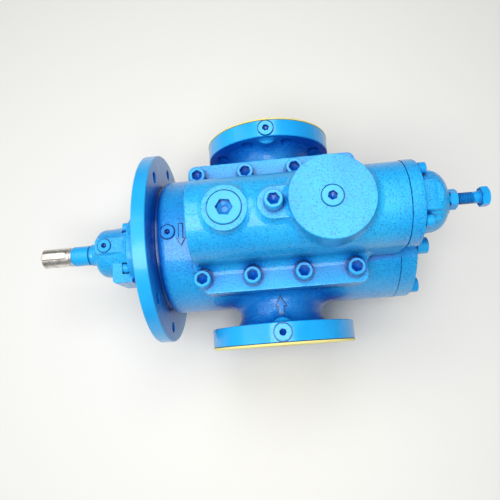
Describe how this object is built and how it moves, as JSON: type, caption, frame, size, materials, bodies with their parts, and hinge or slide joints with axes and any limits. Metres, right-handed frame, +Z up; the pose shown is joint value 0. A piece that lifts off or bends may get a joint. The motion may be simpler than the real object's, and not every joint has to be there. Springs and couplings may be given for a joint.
{
  "type": "three-screw pump",
  "caption": "Flange-mounted three-screw pump: round casing with side branches, an overflow valve housing bolted on top, a keyed drive shaft and an adjusting screw.",
  "frame": {"origin": "on the drive flange's mounting face, on its bolt circle straight below the shaft, where the flange has no hole", "axes": "+X along the shaft, from the drive end to the adjusting screw; +Y towards the discharge branch; +Z up, towards the valve housing. The shaft's axis is at y = 0, z = 0.130"},
  "size_m": [0.6742, 0.3396, 0.3728],
  "materials": {
    "blue_paint": "glossy sky-blue enamel sprayed over cast iron",
    "bare_steel": "bright turned steel with a film of oil",
    "yellow_plastic": "thin moulded polyethylene"
  },
  "bodies": {
    "pump": {"pump_casing": "blue_paint", "drive_flange": "blue_paint", "seal_housing": "blue_paint", "end_cover": "blue_paint", "valve_housing": "blue_paint", "valve_cover": "blue_paint", "lock_nut": "blue_paint", "suction_cover": "yellow_plastic", "discharge_cover": "yellow_plastic", "valve_pad_screw": "blue_paint", "suction_rim_plug": "blue_paint", "discharge_rim_plug": "blue_paint", "casing_plug": "blue_paint", "valve_plug": "blue_paint", "disc_plug": "blue_paint", "seal_housing_plug": "blue_paint", "valve_housing_screw_1": "blue_paint", "valve_housing_screw_2": "blue_paint", "valve_housing_screw_3": "blue_paint", "valve_housing_screw_4": "blue_paint", "valve_housing_screw_5": "blue_paint", "valve_housing_screw_6": "blue_paint", "valve_housing_screw_7": "blue_paint", "valve_housing_screw_8": "blue_paint", "end_cover_screw_1": "blue_paint", "end_cover_screw_2": "blue_paint", "end_cover_screw_3": "blue_paint", "end_cover_screw_4": "blue_paint", "end_cover_screw_5": "blue_paint", "end_cover_screw_6": "blue_paint", "valve_cover_screw_1": "blue_paint", "valve_cover_screw_2": "blue_paint", "valve_cover_screw_3": "blue_paint", "valve_cover_screw_4": "blue_paint", "seal_housing_screw_1": "blue_paint", "seal_housing_screw_2": "blue_paint", "seal_housing_screw_3": "blue_paint", "seal_housing_screw_4": "blue_paint", "drive_flange_screw_1": "blue_paint", "drive_flange_screw_2": "blue_paint", "drive_flange_screw_3": "blue_paint", "drive_flange_screw_4": "blue_paint"},
    "shaft": {"drive_shaft": "bare_steel", "shaft_key": "bare_steel"},
    "adjuster": {"adjusting_screw": "blue_paint"}
  },
  "joints": [
    {"name": "shaft_spin", "type": "hinge", "parent": "pump", "child": "shaft", "pos_m": [-0.1, 0, 0.13], "axis": [1, 0, 0], "continuous": true},
    {"name": "adjuster_travel", "type": "slide", "parent": "pump", "child": "adjuster", "axis": [1, 0, 0], "range_m": [-0.015, 0.01]}
  ]
}
